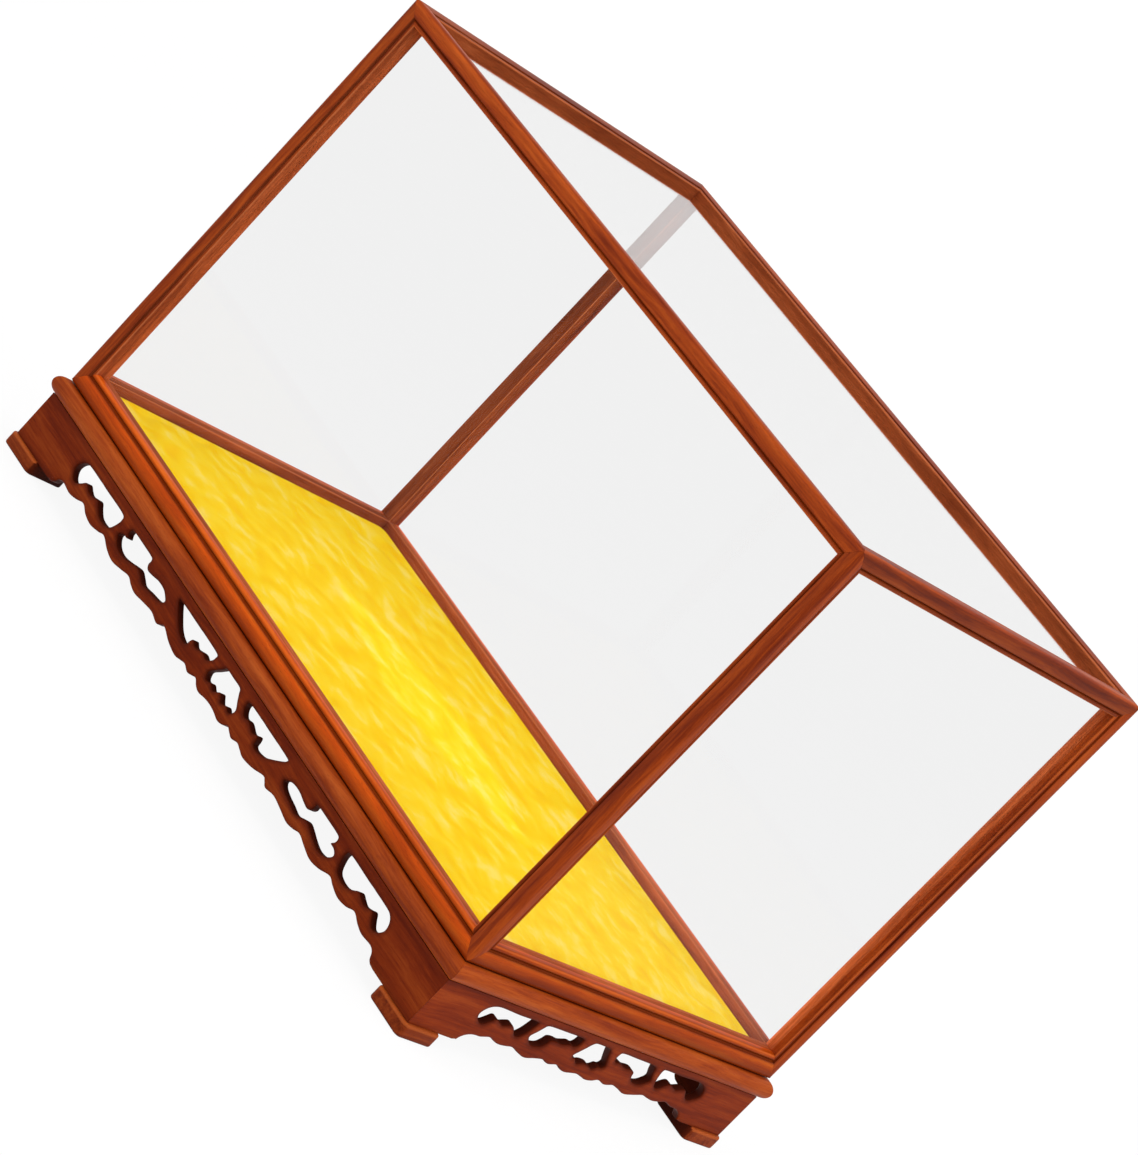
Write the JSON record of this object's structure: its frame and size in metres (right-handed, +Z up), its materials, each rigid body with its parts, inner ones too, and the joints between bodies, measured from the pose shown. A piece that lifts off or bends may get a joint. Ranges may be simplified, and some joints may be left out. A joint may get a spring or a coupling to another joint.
{
  "type": "display box",
  "caption": "Glazed hardwood display hood that lifts off a low openwork stand with a velvet-padded floor.",
  "frame": {"origin": "middle of the rectangle that the four feet stand on, at floor level", "axes": "+Z up; +X along the long side, to the right seen from the front; the front long face looks to -Y"},
  "size_m": [0.51, 0.32, 0.3664],
  "materials": {
    "frame": "polished reddish hardwood, moulded, with mitred corners",
    "openwork": "polished reddish hardwood, fret-sawn",
    "underside": "unpolished reddish hardwood",
    "pad_board": "bare plywood",
    "velvet": "golden-yellow velvet over wadding",
    "glass": "clear sheet glass"
  },
  "bodies": {
    "stand": {"stand_rail_front": "frame", "stand_rail_right": "frame", "stand_rail_back": "frame", "stand_rail_left": "frame", "floor_panel": "underside", "floor_batten_left": "underside", "floor_batten_right": "underside", "apron_front": "openwork", "apron_right": "openwork", "apron_back": "openwork", "apron_left": "openwork", "corner_block_front_left": "underside", "corner_block_front_right": "underside", "corner_block_back_right": "underside", "corner_block_back_left": "underside", "foot_front_left": "openwork", "foot_front_right": "openwork", "foot_back_right": "openwork", "foot_back_left": "openwork", "pad_board": "pad_board", "velvet_pad": "velvet"},
    "hood": {"bottom_rail_front": "frame", "bottom_rail_right": "frame", "bottom_rail_back": "frame", "bottom_rail_left": "frame", "top_rail_front": "frame", "top_rail_right": "frame", "top_rail_back": "frame", "top_rail_left": "frame", "post_front_left": "frame", "post_front_right": "frame", "post_back_right": "frame", "post_back_left": "frame", "pane_front": "glass", "pane_right": "glass", "pane_back": "glass", "pane_left": "glass", "pane_top": "glass"}
  },
  "joints": [
    {"name": "hood_lift", "type": "slide", "parent": "stand", "child": "hood", "axis": [0, 0, 1], "range_m": [0, 0.32]}
  ]
}
